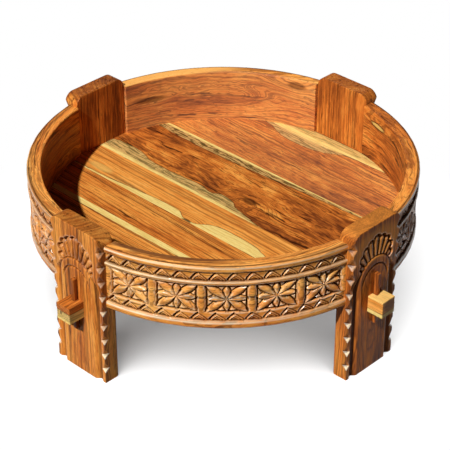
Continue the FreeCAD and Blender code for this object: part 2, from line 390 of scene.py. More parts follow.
def rim_highlight(along, height, seed):
    """Painted highlight on the rim: pale along the upper side of its beads, stronger towards one end."""
    worn_and_highlit = np.zeros_like(height)
    use = np.clip(0.5 - bead_highlight_slope * along / segment_length, 0, 1)
    use = bead_highlight_least_share + (1 - bead_highlight_least_share) * use
    use = bead_highlight * use * (1 + bead_highlight_waver * waver(along, height / bead_highlight_stretch, seed))
    for name, low, high in bands():
        if name.endswith("bead"):
            off = (height - low) / (high - low) - bead_highlight_place_share
            worn_and_highlit = np.maximum(worn_and_highlit, use * np.exp(-(off / bead_highlight_spread_share) ** 2))
    return worn_and_highlit


def rim_heights():
    """Heights of the rows of points up the rim's face, with each band's edges among them."""
    borders = rim_base + np.cumsum([0, *band_shares.values()]) * (rim_top - rim_base)
    return merged(*[steps(low, high, carve_step) for low, high in zip(borders, borders[1:])])


def rim_inside():
    """Section of the rim from its top edge over the inner wall and the floor's groove to its underside."""
    ground = rim_outer - band_depth
    housing = rim_inner + housing_depth
    corner = [
        (rim_inner + rim_edge * (1 - math.sin(turn)), rim_top - rim_edge * (1 - math.cos(turn)))
        for turn in np.linspace(0, math.pi / 2, corner_points)
    ]
    return np.array(
        [(radius, rim_top) for radius in np.linspace(ground, rim_inner + rim_edge, top_points)[1:-1]]
        + corner
        + [(rim_inner, height) for height in np.linspace(rim_top - rim_edge, floor_top, wall_points)[1:]]
        + [(housing, floor_top), (housing, floor_bottom), (rim_inner, floor_bottom), (rim_inner, rim_base)]
        + [(radius, rim_base) for radius in np.linspace(rim_inner, ground, underside_points)[1:-1]]
    )


def rim_segment(name, degrees, seed):
    """Carved segment of the rim. Its ends are flat where it meets the sides of the legs."""
    heights = rim_heights()
    inside = rim_inside()
    half_turn = segment_turn / 2
    shares = steps(-1, 1, carve_step / (half_turn * rim_outer))
    along, height = np.meshgrid(shares * half_turn * rim_outer, heights, indexing="ij")
    relief = rim_relief(along, height, seed)
    face = rim_outer - band_depth + relief
    radius = np.hstack([face, np.tile(inside[:, 0], (len(shares), 1))])
    level = np.hstack([height, np.tile(inside[:, 1], (len(shares), 1))])
    reach = math.pi / 4 - np.arcsin(leg_half / radius)
    angle = math.radians(degrees) + math.pi / 4 + shares[:, None] * reach
    sections = np.stack([radius * np.cos(angle), radius * np.sin(angle), level], axis=-1)
    plain = np.zeros((len(shares), len(inside)))
    hollow, proud = edges(relief)
    dirt_and_shade = np.hstack([np.clip(rim_dirt_and_shade * hollow, 0, 1), plain])
    worn_and_highlit = np.hstack([np.maximum(rim_highlight(along, height, seed), rim_rub_and_highlight * proud ** 2), plain])
    grain = np.stack([radius * angle, radius, level], axis=-1)
    return loft(name, sections, grain, dirt_and_shade, worn_and_highlit)


# Legs

def leg_reach(height):
    """Half width of a leg at a height: its top corners are round."""
    over = np.clip(height - (leg_top - leg_corner), 0, leg_corner)
    return leg_half - leg_corner + np.sqrt(leg_corner ** 2 - over ** 2)


def leg_inside(across, height):
    """Distance inside the outline of a leg's face."""
    over = height - (leg_top - leg_corner)
    beside = np.abs(across) - (leg_half - leg_corner)
    corner = leg_corner - np.hypot(beside, over)
    plain = np.minimum(np.minimum(leg_half - np.abs(across), leg_top - height), height)
    return np.clip(np.where((over > 0) & (beside > 0), corner, plain), 0, None)


def leg_rounding(across, height):
    """How far a leg's rounded edge falls away from its face."""
    short = np.clip(leg_edge - leg_inside(across, height), 0, leg_edge)
    return leg_edge - np.sqrt(leg_edge ** 2 - short ** 2)


def chip_cut(height):
    """How far a chip is cut at a height, and whether that is on its ledge rather than on its long facet."""
    pitch = leg_top / (chip_count + 1)
    rise = pitch - chip_ledge - chip_land
    above_tip = (height + chip_ledge) % pitch
    ledge = above_tip / chip_ledge
    facet = 1 - (above_tip - chip_ledge) / rise
    cut = np.clip(np.minimum(ledge, facet), 0, 1)
    cut = np.where((height > pitch - chip_ledge) & (height < chip_count * pitch + rise), cut, 0)
    return cut, ledge < facet


def chips(across, height):
    """Depth of the chips cut out of both arrises: short ledges and long facets between them."""
    cut, _ = chip_cut(height)
    deep = np.abs(across) - leg_half + chip_on_face * cut
    return np.clip(deep, 0, None) * chip_on_side / chip_on_face


def ledge_highlight(across, height, seed):
    """Painted highlight on the chips' ledges: the lower ones most, each a little differently."""
    _, on_ledge = chip_cut(height)
    number = np.rint(height * (chip_count + 1) / leg_top).astype(int)
    highlights = np.random.default_rng(seed).uniform(*ledge_highlights, (2, chip_count + 2))
    # Each ledge's painted highlight, less on the higher ones
    wear = np.where(across > 0, highlights[0][number], highlights[1][number]) * (1 - height / leg_top)
    return np.where(on_ledge & (chips(across, height) > ledge_least), wear, 0)


def door(across, height):
    """Depth of the groove round the arched door, and of the ground beside it, which lies lower than it."""
    place = np.where(height < door_spring, np.abs(across), np.hypot(across, height - door_spring))
    head = np.clip((height - door_spring) / head_height, 0, 1)
    inner, inner_foot, outer_foot, outer = [
        low + head * (high - low) for low, high in zip(door_groove, head_groove)
    ]
    deepest = door_depth + head * (head_depth - door_depth)
    round_share = np.clip((place - inner) / (inner_foot - inner), 0, 1)
    wall_share = np.clip((outer - place) / (outer - outer_foot), 0, 1)
    ground = ground_sink * np.clip((door_spring + ground_fade - height) / ground_fade, 0, 1)
    outside = ground + (deepest - ground) * wall_share
    return np.where(place < inner_foot, deepest * round_share ** door_roundness, outside)


def arch(across, height):
    """Depth of the fine arch cut into the door's head."""
    up = height - arch_spring
    off = np.hypot(across, up) - arch_radius
    fade = np.clip(up / (arch_fade_share * arch_radius), 0, 1)
    wall = np.where(off < 0, arch_inner_wall, arch_outer_wall)
    return groove(off, wall, arch_depth * fade)


def fan(across, height):
    """Depth of the shell fan over the door: rounded petals in a pocket that follows their tips."""
    up = height - door_spring
    nearest = np.full_like(across, np.inf)
    petals = np.full_like(across, np.inf)
    spread = math.tan(fan_turn / 2)
    for place in range(1 - len(fan_tips), len(fan_tips)):
        tip = fan_tips[abs(place)]
        turn = place * fan_turn
        out = across * math.sin(turn) + up * math.cos(turn)
        off = np.abs(across * math.cos(turn) - up * math.sin(turn))
        tip_out = tip / (1 + spread)
        half = np.clip(out, fan_root / 2, tip_out) * spread
        apart = np.where(out < tip_out, off, np.hypot(off, out - tip_out)) - half
        crest = fan_root_sink * (1 - np.clip((out - fan_root) / (tip - fan_root), 0, 1))
        round_off = np.clip(1 + apart / half, 0, 1)
        surface = crest + fan_bulge * (1 - np.sqrt(1 - round_off ** 2))
        petals = np.where((apart < 0) & (out > 0), np.minimum(petals, surface), petals)
        nearest = np.where(out > 0, np.minimum(nearest, apart), nearest)
    pocket = fan_depth * np.clip((fan_margin + fan_wall - nearest) / fan_wall, 0, 1)
    beyond = np.clip((np.hypot(across, up) - fan_root) / fan_root_fade, 0, 1)
    return beyond * np.minimum(pocket, petals)


def carved_depth(across, height):
    """Depth of the ornament in a leg's outer face."""
    return np.maximum.reduce([door(across, height), arch(across, height), fan(across, height)])


def leg_depth(across, height, seed):
    """Depth of all that is cut into a leg's outer face."""
    uneven = leg_waver_share * hand_waver * (1 + waver(across, height, seed))
    carved = carved_depth(across, height) + uneven
    return np.maximum.reduce([carved, chips(across, height), leg_rounding(across, height)])


def edge_steps():
    """Distances from a leg's edge of the points on its rounding."""
    return leg_edge * (1 - np.cos(np.linspace(0, math.pi / 2, edge_points)))


def leg_heights(mortise_ends):
    """Heights of a leg's rows of points, among them the chips' roots and the ends of its mortise."""
    roots = leg_top / (chip_count + 1) * np.arange(1, chip_count + 1)
    fine = edge_steps()
    return merged(steps(0, leg_top, leg_step), roots, roots - chip_ledge, mortise_ends, fine, leg_top - fine)


def leg_columns():
    """Places of a leg's columns of points across its outer face, among them the sides of its mortise."""
    fine = edge_steps()
    sides = [-mortise_half, mortise_half]
    return merged(steps(-leg_half, leg_half, leg_step), fine - leg_half, leg_half - fine, sides)


def leg_back(heights, columns):
    """Points of a leg's plain back."""
    across = np.outer(leg_reach(heights), columns)
    height = np.repeat(heights[:, None], len(columns), axis=1)
    return np.stack([leg_inner + leg_rounding(across, height), across, height], axis=-1)


def leg_marks(across, height, depth, seed, dirt_and_shade_amount):
    """Where a leg's outer face is darkened by dirt and painted shade and paled by wear and painted
    highlight, leaving out its top and bottom rows.
    """
    hollow, proud = edges(-depth)
    deep = np.clip(carved_depth(across, height) / fan_depth - dirt_and_shade_start, 0, dirt_and_shade_most)
    dirt_and_shade = dirt_and_shade_amount * np.maximum(hollow, deep)
    worn_and_highlit = np.maximum(leg_rub_and_highlight * proud ** 2, ledge_highlight(across, height, seed))
    for marks in (dirt_and_shade, worn_and_highlit):
        marks[[0, -1]] = 0
    return dirt_and_shade, worn_and_highlit


def leg(name, degrees, beam, seed, dirt_and_shade_amount):
    """Carved leg with a mortise through it for a beam's tenon."""
    low, high = tenon_heights(beam)
    mortise_ends = [low - mortise_gap, high + mortise_gap]
    columns = leg_columns()
    heights = leg_heights(mortise_ends)
    across = np.outer(leg_reach(heights), columns / leg_half)
    height = np.repeat(heights[:, None], len(columns), axis=1)
    depth = leg_depth(across, height, seed)
    front = np.stack([leg_outer - depth, across, height], axis=-1)

    half_columns = [*back_column_shares, mortise_half / leg_half]
    back_columns = np.array([*half_columns, 0, *(-share for share in reversed(half_columns))])
    back = leg_back(heights, back_columns)
    side_shares = np.linspace(0, 1, side_points)[1:-1, None]
    right = front[:, None, -1] * (1 - side_shares) + back[:, None, 0] * side_shares
    left = back[:, None, -1] * (1 - side_shares) + front[:, None, 0] * side_shares
    sections = np.concatenate([front, right, back, left], axis=1)
    grain = sections[..., ::-1].copy()

    plain = ((0, 0), (0, sections.shape[1] - len(columns)))
    dirt_and_shade, worn_and_highlit = [np.pad(marks, plain) for marks in leg_marks(across, height, depth, seed, dirt_and_shade_amount)]
    back_start = len(columns) + len(side_shares)
    open_cells, walls = mortise(heights, columns, back_columns, mortise_ends, back_start)
    return loft(name, turned(sections, degrees), grain, dirt_and_shade, worn_and_highlit, open_cells, walls)


def tenon_heights(beam):
    """Lower and upper height of a beam's tenons."""
    points = np.array([vertex.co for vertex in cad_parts[beam].data.vertices])
    heights = points[np.abs(points).max(axis=1) > leg_outer + mortise_gap, 2]
    return heights.min(), heights.max()


def between(values, low, high):
    """Numbers of the values from low to high, both ends among them."""
    return np.flatnonzero((values > low - tiny) & (values < high + tiny))


def mortise(heights, columns, back_columns, ends, back_start):
    """Cells that the mortise leaves open in a leg's skin, and the faces of its four walls."""
    count = len(heights)
    around = 2 * back_start - len(columns) + len(back_columns)
    rows = between(heights, *ends)
    front = between(columns, -mortise_half, mortise_half)
    back = back_start + between(back_columns * leg_half, -mortise_half, mortise_half)
    open_cells = np.zeros((count - 1, around), bool)
    open_cells[rows[0]:rows[-1], front[0]:front[-1]] = True
    open_cells[rows[0]:rows[-1], back[0]:back[-1]] = True
    number = np.arange(count * around).reshape(count, around)
    front_grid = number[np.ix_(rows, front)]
    back_grid = number[np.ix_(rows, back[::-1])]
    walls = [
        front_grid[0].tolist() + back_grid[0][::-1].tolist(),
        front_grid[-1][::-1].tolist() + back_grid[-1].tolist(),
        front_grid[:, 0][::-1].tolist() + back_grid[:, 0].tolist(),
        front_grid[:, -1].tolist() + back_grid[:, -1][::-1].tolist(),
    ]
    return open_cells, walls


# Materials

class Tree:
    """Node tree of one material, built by short calls that give back an output."""

    def __init__(self, name):
        self.material = bpy.data.materials.new(name)
        self.material.use_nodes = True
        self.nodes = self.material.node_tree.nodes
        self.nodes.clear()

    def link(self, output, socket):
        self.material.node_tree.links.new(output, socket)

    def add(self, kind, output, sockets, **settings):
        node = self.nodes.new(kind)
        for name, value in settings.items():
            setattr(node, name, value)
        for name, value in sockets.items():
            if isinstance(value, bpy.types.NodeSocket):
                self.link(value, node.inputs[name])
            else:
                node.inputs[name].default_value = value
        return node.outputs[output]

    def finish(self, surface):
        output = self.nodes.new("ShaderNodeOutputMaterial")
        self.link(surface, output.inputs["Surface"])

    def math(self, operation, *values):
        return self.add("ShaderNodeMath", 0, dict(enumerate(values)), operation=operation)

    def vector(self, operation, *values):
        return self.add("ShaderNodeVectorMath", 0, dict(enumerate(values)), operation=operation)

    def mix(self, share, first, second):
        return self.add("ShaderNodeMix", 2, {0: share, 6: first, 7: second}, data_type="RGBA")

    def length(self, vector):
        return self.add("ShaderNodeVectorMath", "Value", {0: vector}, operation="LENGTH")

    def attribute(self, name, output="Fac"):
        return self.add("ShaderNodeAttribute", output, {}, attribute_name=name)

    def curve(self, value, places):
        """Value read off a curve through places of the form (value, result)."""
        node = self.nodes.new("ShaderNodeFloatCurve")
        self.link(value, node.inputs["Value"])
        points = node.mapping.curves[0].points
        while len(points) < len(places):
            points.new(0.5, 0.5)
        for point, location in zip(points, places):
            point.location = location
        node.mapping.update()
        return node.outputs[0]

    def spread(self, value, low, high, to_low=0.0, to_high=1.0):
        """Value between low and high, turned smoothly into one between two others."""
        sockets = dict(enumerate((value, low, high, to_low, to_high)))
        return self.add("ShaderNodeMapRange", 0, sockets, interpolation_type="SMOOTHSTEP")

    def placed(self, vector, location=(0, 0, 0), rotation=(0, 0, 0), scale=(1, 1, 1), vector_type="POINT"):
        sockets = {"Vector": vector, "Location": location, "Rotation": rotation, "Scale": scale}
        return self.add("ShaderNodeMapping", 0, sockets, vector_type=vector_type)

    def noise(self, vector, scale, detail, output="Fac", location=(0, 0, 0)):
        """Noise of a scale along the grain and twice across it."""
        sockets = {"Vector": self.placed(vector, location, scale=scale), "Scale": 1.0, "Detail": detail}
        return self.add("ShaderNodeTexNoise", output, sockets)

    def bent(self, vector, scale, reach):
        """Vector pushed about across the grain by noise of a scale along and across it."""
        push = self.noise(vector, scale, detail=2.0, output="Color")
        push = self.vector("SUBTRACT", push, (noise_middle, noise_middle, noise_middle))
        return self.vector("ADD", vector, self.vector("MULTIPLY", push, (0, 2 * reach, 2 * reach)))

    def ramp(self, value, stops):
        node = self.nodes.new("ShaderNodeValToRGB")
        elements = node.color_ramp.elements
        while len(elements) < len(stops):
            elements.new(0.5)
        for element, (place, colour) in zip(elements, stops):
            element.position = place
            element.color = colour
        self.link(value, node.inputs[0])
        return node.outputs[0]


# Colours of the wood
DEEP = (0.030, 0.0070, 0.0025, 1)
DARK = (0.110, 0.026, 0.007, 1)
BROWN = (0.235, 0.058, 0.012, 1)
ORANGE = (0.620, 0.176, 0.026, 1)
GOLD = (0.870, 0.345, 0.062, 1)
HONEY = (0.930, 0.450, 0.110, 1)
SAP = (0.900, 0.680, 0.230, 1)
STRAW = (0.760, 0.500, 0.130, 1)
KHAKI = (0.600, 0.340, 0.110, 1)
OLIVE = (0.120, 0.070, 0.018, 1)
PALE = (1.000, 0.830, 0.540, 1)
# Pinkish tone of painted sheen
PAINTED_SHEEN = (0.620, 0.330, 0.240, 1)

# Turns of a plain piece's own axes that bring its grain along X
ALONG_X = (0, 0, 0)
ALONG_Y = (0, 0, math.pi / 2)
UPRIGHT = (0, math.pi / 2, 0)

# The wood's colours by its tone
wood_stops = [(0.02, DEEP), (0.25, BROWN), (0.52, ORANGE), (0.82, GOLD), (1.0, HONEY)]
# Lean of the grain in a board
grain_tilt = (0, 0.03, 0.02)
# Middle of any noise, and each mark's scale along the grain and twice across it, with its detail
noise_middle = 0.5
mark_noises = {
    "fibres": ((20, 300, 300), 4.0),
    "patches": ((4, 22, 22), 3.0),
    "mottles": ((24, 60, 60), 2.0),
    "streaks": ((4, 130, 130), 2.0),
    "dashes": ((32, 420, 420), 1.0),
    "flecks": ((14, 340, 340), 1.0),
}
# Values between which marks fade: of their noise, or of what growth lines, end grain and knots' cores go by
line_edges = (0.01, 0.06)
streak_edges = (0.60, 0.70)
dash_edges = (0.60, 0.68)
fleck_edges = (0.44, 0.60)
pore_edges = (0.60, 0.72)
end_edges = (0.5, 0.95)
core_edges = (0.14, 0.26)
# How strongly fibres, pores, wear with painted highlight, and dirt with painted shade change the colour
fibre_share = 0.7
pore_share = 0.35
wear_and_highlight_share = 0.25
dirt_and_shade_share = 0.9
# Gloss and fine relief
fibre_relief = 0.7
pore_relief = 0.5
dull_edges = (0.25, 0.75)
dull_range = (0.30, 0.44)
wear_polish = 0.06
smoothest = 0.24
plain_gloss = 0.06
wear_gloss = 0.7
# Sapwood: waver of its width, the dark border, how far in it turns flecked, and how its fibres and edge fade
sap_waver = 6 * MM
sap_border = (0.5 * MM, 2.2 * MM)
sap_border_share = 0.7
sap_clean_shares = (0.15, 0.35)
sap_fibre_edges = (0.4, 0.7)
sap_fade = (-0.6 * MM, 0.8 * MM)


def wood(name, pith, tone, turn=None, ring=8 * MM, warp=12 * MM, ripple=2 * MM, patch=0.5, mottle=0.3,
         lines=0.6, streaks=0.6, dashes=0.3, ends=(0, 0, 0), end_shade=0.22, end_colour=DARK,
         saps=(), knots=()):
    """Oiled hardwood: growth lines round a pith, fibres, pores, dark streaks, sapwood edges and knots.

    Without a turn for a plain piece, the grain follows the carved mesh's own grain.
    """
    tree = Tree(name)
    if turn is None:
        place = tree.attribute("grain", "Vector")
        board = place
    else:
        place = tree.add("ShaderNodeTexCoord", "Object", {})
        board = tree.placed(place, rotation=turn)
    leaning = tree.placed(board, location=pith, rotation=grain_tilt)
    bent = tree.bent(leaning, scale=(3, 14, 14), reach=warp)
    bent = tree.bent(bent, scale=(28, 60, 60), reach=ripple)
    marks = {kind: tree.noise(bent, scale, detail) for kind, (scale, detail) in mark_noises.items()}
    pores = tree.noise(board, scale=(70, 1200, 1200), detail=1.0, location=pith)
    rings, cores = growth(tree, place, bent, ring, knots)

    value = tree.math("MULTIPLY_ADD", marks["patches"], patch, tone - noise_middle * (patch + mottle))
    value = tree.math("MULTIPLY_ADD", marks["mottles"], mottle, value)
    value = tree.math("SUBTRACT", value, noise_middle * fibre_share)
    colour = tree.ramp(tree.math("MULTIPLY_ADD", marks["fibres"], fibre_share, value), wood_stops)
    contour = tree.math("ABSOLUTE", tree.math("SUBTRACT", rings, noise_middle))
    colour = tree.mix(tree.spread(contour, *line_edges, lines, 0.0), colour, DARK)
    colour = tree.mix(tree.spread(marks["streaks"], *streak_edges, 0.0, streaks), colour, DEEP)
    colour = tree.mix(tree.spread(marks["dashes"], *dash_edges, 0.0, dashes), colour, DEEP)
    for sap in saps:
        colour = sapwood(tree, place, colour, marks, **sap)
    for core, core_colour in cores:
        colour = tree.mix(core, colour, core_colour)
    normal = tree.add("ShaderNodeNewGeometry", "True Normal", {})
    facing = tree.add("ShaderNodeVectorMath", "Value", {0: normal, 1: ends}, operation="DOT_PRODUCT")
    end_grain = tree.spread(tree.math("ABSOLUTE", facing), *end_edges, 0.0, end_shade)
    colour = tree.mix(end_grain, colour, end_colour)
    colour = tree.mix(tree.spread(pores, *pore_edges, 0.0, pore_share), colour, DEEP)
    polish(tree, colour, marks["fibres"], pores, carved=turn is None)
    return tree.material


def growth(tree, place, bent, ring, knots):
    """Noise by the distance from the pith, pushed aside at knots, and each knot's core with its colour."""
    radius = tree.length(tree.vector("MULTIPLY", bent, (0, 1, 1)))
    cores = []
    for spot in knots:
        away = tree.placed(place, location=spot["place"], scale=spot["size"], vector_type="TEXTURE")
        away = tree.length(away)
        radius = tree.math("ADD", radius, tree.spread(away, 0.0, 1.0, spot["push"], 0.0))
        cores.append((tree.spread(away, *core_edges, spot["strength"], 0.0), spot["colour"]))
    sockets = {"W": tree.math("DIVIDE", radius, ring), "Scale": 1.0, "Detail": 3.0}
    return tree.add("ShaderNodeTexNoise", "Fac", sockets, noise_dimensions="1D"), cores


def polish(tree, colour, fibres, pores, carved):
    """Surface of wood of a colour, with the relief of its fibres and a carved mesh's marks: wear and painted
    highlight, dirt and painted shade.
    """
    height = tree.math("MULTIPLY_ADD", fibres, fibre_relief, tree.math("MULTIPLY", pores, -pore_relief))
    relief = {"Height": height, "Strength": 0.4, "Distance": 0.25 * MM}
    dull = tree.spread(fibres, *dull_edges, *dull_range)
    gloss = plain_gloss
    if carved:
        worn_and_highlit = tree.attribute("worn_and_highlit")
        # Wear with painted highlight makes the carving paler; dirt with painted shade makes its hollows
        # darker
        colour = tree.mix(tree.math("MULTIPLY", worn_and_highlit, wear_and_highlight_share), colour, PALE)
        colour = tree.mix(tree.math("MULTIPLY", tree.attribute("dirt_and_shade"), dirt_and_shade_share), colour, DEEP)
        dull = tree.math("MAXIMUM", tree.math("MULTIPLY_ADD", worn_and_highlit, -wear_polish, dull), smoothest)
        gloss = tree.math("MINIMUM", tree.math("MULTIPLY_ADD", worn_and_highlit, wear_gloss, plain_gloss), 1.0)
    tree.finish(tree.add("ShaderNodeBsdfPrincipled", 0, {
        "Base Color": colour,
        "Roughness": dull,
        "Specular IOR Level": gloss,
        "Normal": tree.add("ShaderNodeBump", 0, relief),
    }))


def sapwood(tree, place, colour, marks, edge, side, widths, widest, flecks, axis=1):
    """Pale sapwood along a board's edge, as wide as a curve along the board says.

    It is clean beside the edge and flecked towards the heartwood.
    """
    axes = tree.nodes.new("ShaderNodeSeparateXYZ")
    tree.link(place, axes.inputs[0])
    along = tree.math("MULTIPLY_ADD", axes.outputs[0], 0.5 / rim_inner, 0.5)
    wobble = tree.math("MULTIPLY_ADD", marks["fibres"], sap_waver, -noise_middle * sap_waver)
    width = tree.math("MULTIPLY_ADD", tree.curve(along, widths), widest, wobble)
    inside = tree.math("MULTIPLY_ADD", axes.outputs[axis], side, -side * edge)
    off = tree.math("SUBTRACT", width, inside)
    border = tree.spread(tree.math("ABSOLUTE", off), *sap_border, sap_border_share, 0.0)
    heartward = tree.spread(tree.math("DIVIDE", inside, width), *sap_clean_shares, 0.0, flecks)
    flecked = tree.mix(tree.spread(marks["flecks"], *fleck_edges), KHAKI, OLIVE)
    clean = tree.mix(tree.spread(marks["fibres"], *sap_fibre_edges), SAP, STRAW)
    colour = tree.mix(border, colour, DEEP)
    return tree.mix(tree.spread(off, *sap_fade), colour, tree.mix(heartward, clean, flecked))


# Knots

# A size that reaches through any piece, and how deep a knot on the rim's inner wall goes
through = 1.0
wall_knot_size = 50 * MM


def knot(place, size, strength, push=0.0, colour=DEEP):
    """Knot in the wood, or without push a streak or patch of a colour.

    Its core reaches about a fifth of its size, and shows its colour as much as its strength says.
    """
    return dict(place=place, size=size, strength=strength, push=push, colour=colour)


def plank_knot(across, up, long, wide, strength, push=0, colour=DEEP):
    """Knot in the floor, at a place and of a size in millimetres."""
    place = (across * MM, up * MM, floor_top)
    return knot(place, (long * MM, wide * MM, through), strength, push * MM, colour)


def wall_knot(degrees, height, long, high, strength, push=0, colour=DEEP):
    """Knot on the rim's inner wall, at an angle round the table and of a size in millimetres."""
    place = (rim_inner * math.radians(degrees), rim_inner, height * MM)
    return knot(place, (long * MM, wall_knot_size, high * MM), strength, push * MM, colour)


def top_streak(degrees, inward, long, wide, strength, deep=60, colour=DARK):
    """Streak on the rim's top, at an angle, a distance off its inner edge and of a size in millimetres."""
    place = (rim_inner * math.radians(degrees), rim_inner + inward * MM, rim_top)
    return knot(place, (long * MM, wide * MM, deep * MM), strength, colour=colour)


# Pieces

def dress(node, material):
    """Gives a CAD node a material."""
    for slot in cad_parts[node].material_slots:
        slot.material = material


def wear(node):
    """Rounds the worn edges of a CAD node."""
    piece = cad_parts[node]
    piece.modifiers.new("weld", "WELD").merge_threshold = same_place
    bevel = piece.modifiers.new("worn edges", "BEVEL")
    bevel.width = worn_edge
    bevel.segments = 3
    bevel.limit_method = "ANGLE"
    bevel.angle_limit = math.radians(50)


# Legs and wedge keys: each leg, and also each rim segment and plank, has its pith in a place of its own
# Gold patch over the east leg's fan: painted light on petals that lie in shade
fan_painted_light = knot((278 * MM, 0, leg_outer), (170 * MM, 330 * MM, through), strength=0.5, colour=GOLD)
leg_looks = {
    # The east leg's top end grain is tinted gold, not dark: painted light there
    "east": dict(tone=0.50, end_shade=0.34, end_colour=GOLD, knots=[fan_painted_light]),
    "north": dict(tone=0.54, end_shade=0.34),
    "west": dict(tone=0.48, end_shade=0.45),
    "south": dict(tone=0.68, end_shade=0.38),
}
# How much each leg's carving is darkened by dirt and painted shade
leg_dirt_and_shade = {"east": 0.8, "north": 1.0, "west": 1.0, "south": 0.6}
lit_from_back = []
for number, (side, degrees) in enumerate(COMPASS.items()):
    beam = "beam_east_west" if side in ("east", "west") else "beam_north_south"
    piece = leg(f"carved_leg_{side}", degrees, beam, leg_seed + number, leg_dirt_and_shade[side])
    if side in ("north", "west"):
        lit_from_back.append(piece)
    piece.data.materials.append(wood(
        f"leg wood {side}", pith=(0.4 * number, 0.05 * number, -0.30), warp=8 * MM, patch=1.1, lines=0.55,
        streaks=0.65, ends=(0, 0, 1), **leg_looks[side],
    ))
    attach(piece, "table")
    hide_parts(f"leg_{side}")
    dress(f"wedge_key_{side}", wood(f"key wood {side}", turn=UPRIGHT, pith=(0.3, 0.02, 0.3), tone=0.4))
    wear(f"wedge_key_{side}")

# Rim
rim_looks = {
    "northeast": dict(tone=0.57, knots=[
        wall_knot(71, height=278, long=135, high=35, strength=0.9, push=30),
        wall_knot(71, height=278, long=110, high=20, strength=0.95, colour=STRAW),
    ]),
    "northwest": dict(tone=0.68, knots=[
        # Faint pinkish patch over this segment's inner wall: painted sheen
        wall_knot(135, height=246, long=2000, high=400, strength=0.14, colour=PAINTED_SHEEN),
        top_streak(162, inward=14, long=800, wide=110, strength=0.85, deep=12, colour=HONEY),
        wall_knot(160, height=255, long=175, high=30, strength=0.6, push=25),
        wall_knot(132, height=232, long=140, high=55, strength=0.0, push=40),
        wall_knot(108, height=288, long=100, high=40, strength=0.55, push=20),
    ]),
    "southwest": dict(tone=0.71, knots=[
        top_streak(214, inward=16, long=400, wide=9, strength=0.5),
        # Dark patch over this segment's inner wall: painted shade
        wall_knot(214, height=236, long=800, high=260, strength=0.45),
    ]),
    "southeast": dict(tone=0.81, knots=[
        top_streak(302, inward=5, long=640, wide=34, strength=0.85),
        top_streak(316, inward=14, long=500, wide=12, strength=0.7),
    ]),
}
for number, (corner, degrees) in enumerate(CORNERS.items()):
    piece = rim_segment(f"carved_rim_{corner}", degrees, rim_seed + rim_seed_step * number)
    lit_from_back.append(piece)
    piece.data.materials.append(wood(
        f"rim wood {corner}", pith=(0.3 * number, -0.31, -0.1), warp=26 * MM, ripple=5 * MM, patch=1.1,
        mottle=0.5, lines=0.5, streaks=0.8, dashes=0.45, **rim_looks[corner],
    ))
    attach(piece, "table")
    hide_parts(f"rim_{corner}")

# Floor planks: the sapwood's width is read along the floor, as shares of its length and of the widest place
plank_lows = {number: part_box(f"floor_plank_{number}")[0].y for number in range(1, 8)}
plank_saps = {
    2: [dict(edge=plank_lows[3], side=-1, widest=15 * MM, flecks=0.0,
             widths=[(0, 0.9), (0.3, 1.0), (0.6, 0.9), (1, 1.0)])],
    4: [dict(edge=plank_lows[4], side=1, widest=32 * MM, flecks=0.05,
             widths=[(0, 0.05), (0.14, 0.16), (0.29, 0.44), (0.40, 0.58), (0.45, 0.3), (0.48, 0.10),
                     (0.53, 0.5), (0.61, 0.94), (0.67, 0.9), (0.78, 0.45), (1, 0.1)])],
    5: [dict(edge=plank_lows[5], side=1, widest=42 * MM, flecks=0.85,
             widths=[(0, 0.8), (0.08, 1.0), (0.20, 0.65), (0.28, 0.66), (0.38, 0.75), (0.42, 0.62),
                     (0.46, 0.82), (0.53, 0.45), (0.59, 0.22), (0.66, 0.0), (1, -0.2)]),
        dict(edge=plank_lows[6], side=-1, widest=26 * MM, flecks=1.0,
             widths=[(0, 0.7), (0.23, 1.0), (0.45, 0.8), (0.6, 0.5), (0.8, 0.25), (1, 0.2)])],
    6: [dict(edge=plank_lows[7], side=-1, widest=35 * MM, flecks=0.85,
             widths=[(0, 0.1), (0.26, 0.3), (0.33, 0.75), (0.41, 1.0), (0.48, 0.86), (0.54, 0.4),
                     (0.6, 0.05), (1, 0.0)])],
    7: [dict(edge=plank_lows[7], side=1, widest=40 * MM, flecks=0.6,
             widths=[(0, 0.8), (0.6, 0.7), (1, 0.5)])],
}
plank_knots = {
    3: [plank_knot(48, -101, long=400, wide=25, strength=0.6, colour=BROWN)],
    4: [plank_knot(-14, -91, long=60, wide=34, strength=0.8, push=40),
        plank_knot(-284, -67, long=165, wide=50, strength=0.5, colour=STRAW)],
    5: [plank_knot(27, 47, long=90, wide=45, strength=0.7, push=45),
        plank_knot(148, 76, long=90, wide=8, strength=0.9)],
    # Faint pinkish patch over plank 6: painted sheen
    6: [plank_knot(40, 230, long=2000, wide=700, strength=0.1, colour=PAINTED_SHEEN)],
}
plank_looks = {
    1: dict(tone=0.72, lines=0.7, patch=0.8, dashes=0.2),
    2: dict(tone=0.72, lines=0.7, patch=0.8, dashes=0.2),
    3: dict(tone=0.65, lines=0.75, patch=1.2, streaks=0.8),
    4: dict(tone=0.78, lines=0.45, patch=0.7, streaks=0.35, dashes=0.1, ring=12 * MM),
    5: dict(tone=0.47, patch=1.2, mottle=0.8, streaks=0.9, dashes=0.6, ripple=5 * MM, warp=26 * MM),
    6: dict(tone=0.56, patch=0.9, mottle=0.6, streaks=0.7, dashes=0.5, ripple=5 * MM),
    7: dict(tone=0.50, patch=0.8, dashes=0.4),
}
for number, look in plank_looks.items():
    dress(f"floor_plank_{number}", wood(
        f"plank wood {number}", turn=ALONG_X, pith=(0.37 * number, 0.2 - 0.11 * number, -0.10),
        saps=plank_saps.get(number, ()), knots=plank_knots.get(number, ()), **look,
    ))

# Beams: the sapwood lies along the underside of their tenons
even_widths = [(0, 1.0), (1, 1.0)]
tenon_low, tenon_high = tenon_heights("beam_east_west")
tenon_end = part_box("beam_east_west")[1].x
